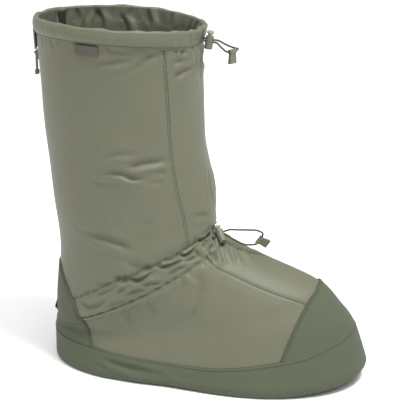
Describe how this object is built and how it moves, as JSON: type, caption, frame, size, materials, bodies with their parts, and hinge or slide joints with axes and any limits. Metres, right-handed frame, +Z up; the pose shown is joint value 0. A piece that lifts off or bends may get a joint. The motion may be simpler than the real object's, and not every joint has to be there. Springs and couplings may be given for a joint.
{
  "type": "waterproof overboot",
  "caption": "Tall soft waterproof overboot with a flat sole, dark toe cap, heel counter and rand, a rear zip, and drawcords with cord locks at the collar and the instep",
  "frame": {"origin": "on the floor under the middle of the heel, 55 mm ahead of the back of the sole", "axes": "+X to the toe, +Y to the inner side of this right boot, +Z up the leg"},
  "size_m": [0.362, 0.1556, 0.3815],
  "materials": {
    "cloth_olive": "smooth laminated nylon with a slight sheen",
    "cloth_dark": "coarser matte reinforcing fabric",
    "sole_dark": "thin matte sole fabric with a rubbery grip coat",
    "cord_grey": "braided elastic cord",
    "plastic_olive": "moulded satin plastic",
    "plastic_pale": "moulded satin plastic, paler",
    "web_black": "black woven tape",
    "label_grey": "plain woven tab"
  },
  "bodies": {
    "boot": {"outsole": "sole_dark", "insole": "cloth_olive", "upper": "cloth_olive", "rand": "cloth_dark", "toe_cap": "cloth_dark", "heel_counter": "cloth_dark", "collar_hem": "cloth_olive", "collar_cord": "cord_grey", "collar_lock_barrel": "plastic_olive", "collar_cord_end": "plastic_olive", "ankle_cord": "cord_grey", "ankle_lock_barrel": "plastic_olive", "ankle_cord_end": "plastic_olive", "zip_tape": "web_black", "zip_slider": "plastic_olive", "rear_tab": "cloth_olive", "heel_tab": "web_black", "side_label": "label_grey", "inner_tab": "web_black"},
    "collar_button": {"collar_lock_button": "plastic_pale"},
    "ankle_button": {"ankle_lock_button": "plastic_pale"},
    "pull": {"zip_pull": "plastic_olive"}
  },
  "joints": [
    {"name": "collar_button_press", "type": "slide", "parent": "boot", "child": "collar_button", "axis": [-0.1473, 0, -0.9891], "range_m": [0, 0.0018], "stiffness_N_per_m": 1200, "springref_m": -0.0005},
    {"name": "ankle_button_press", "type": "slide", "parent": "boot", "child": "ankle_button", "axis": [0.478, -0.4655, -0.7449], "range_m": [0, 0.0018], "stiffness_N_per_m": 1200, "springref_m": -0.0005},
    {"name": "zip_pull_swing", "type": "hinge", "parent": "boot", "child": "pull", "pos_m": [-0.07043, 0, 0.3391], "axis": [0, 1, 0], "range_deg": [-5, 150]}
  ]
}
